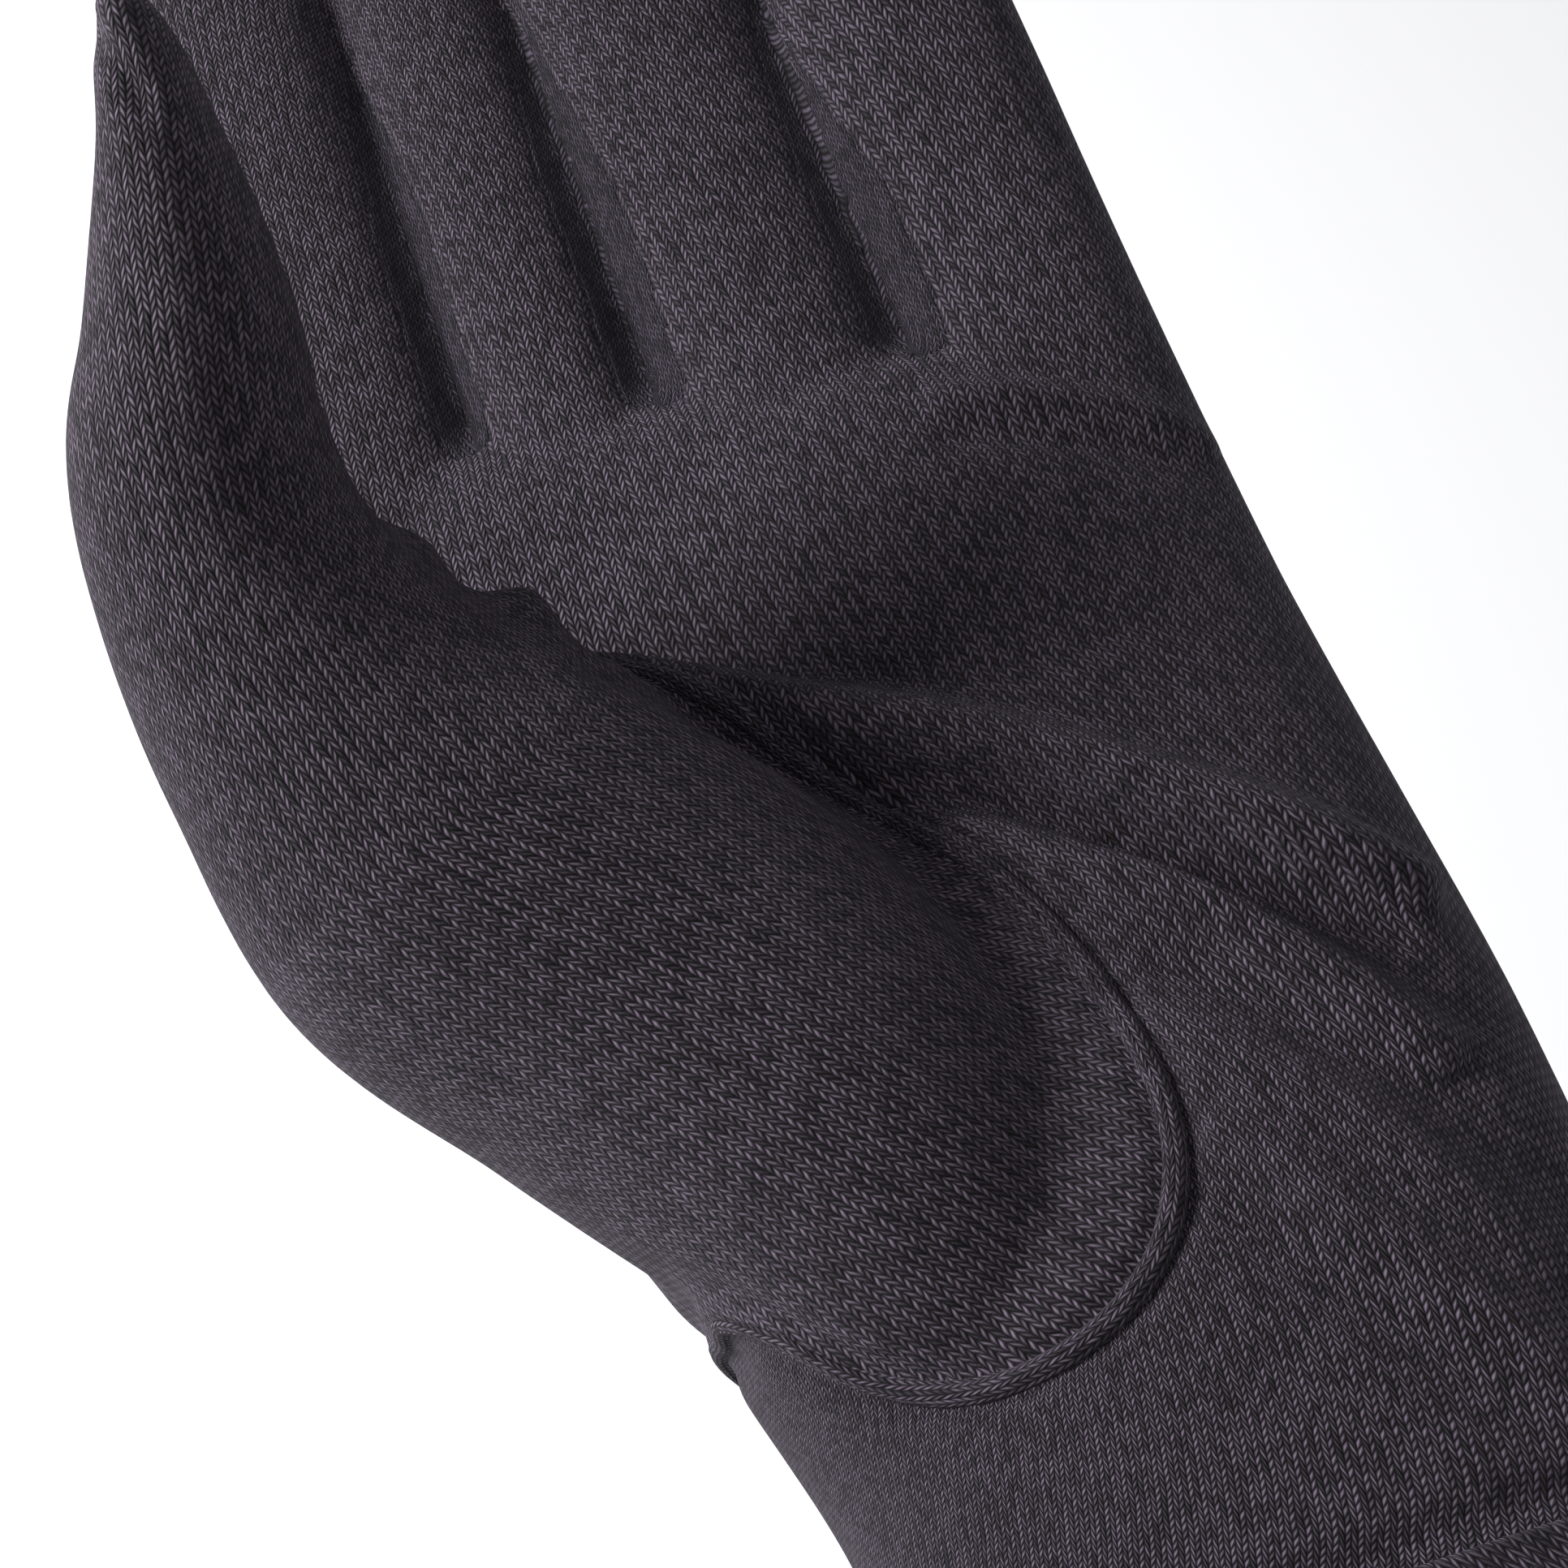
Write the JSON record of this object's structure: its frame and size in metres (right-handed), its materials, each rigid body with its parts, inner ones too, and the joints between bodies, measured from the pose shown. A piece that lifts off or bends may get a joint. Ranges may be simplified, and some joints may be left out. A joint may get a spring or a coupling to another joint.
{
  "type": "knitted glove liner",
  "caption": "Thin knitted glove liner for the left hand, held in its worn shape, with a set-in thumb, side strips between the fingers and a long plain cuff.",
  "frame": {"origin": "centre of the wrist opening, in the plane of its rim", "axes": "+Y from the wrist opening along the fingers, +Z out of the palm, and the thumb on the -X side"},
  "size_m": [0.0908, 0.245, 0.0828],
  "materials": {
    "jersey_trank": "fine single jersey knit, matt with a faint violet sheen",
    "jersey_thumb": "fine single jersey knit, its wales along the thumb",
    "jersey_strips": "fine single jersey knit",
    "seam_welt": "folded jersey edge, sewn down",
    "jersey_cuff": "double jersey band"
  },
  "bodies": {
    "root": {"palm_panel": "jersey_trank", "back_panel": "jersey_trank", "thumb_piece": "jersey_thumb", "thumb_seam_welt": "seam_welt", "fourchette_index_middle": "jersey_strips", "fourchette_middle_ring": "jersey_strips", "fourchette_ring_little": "jersey_strips", "cuff_band": "jersey_cuff"}
  },
  "joints": []
}
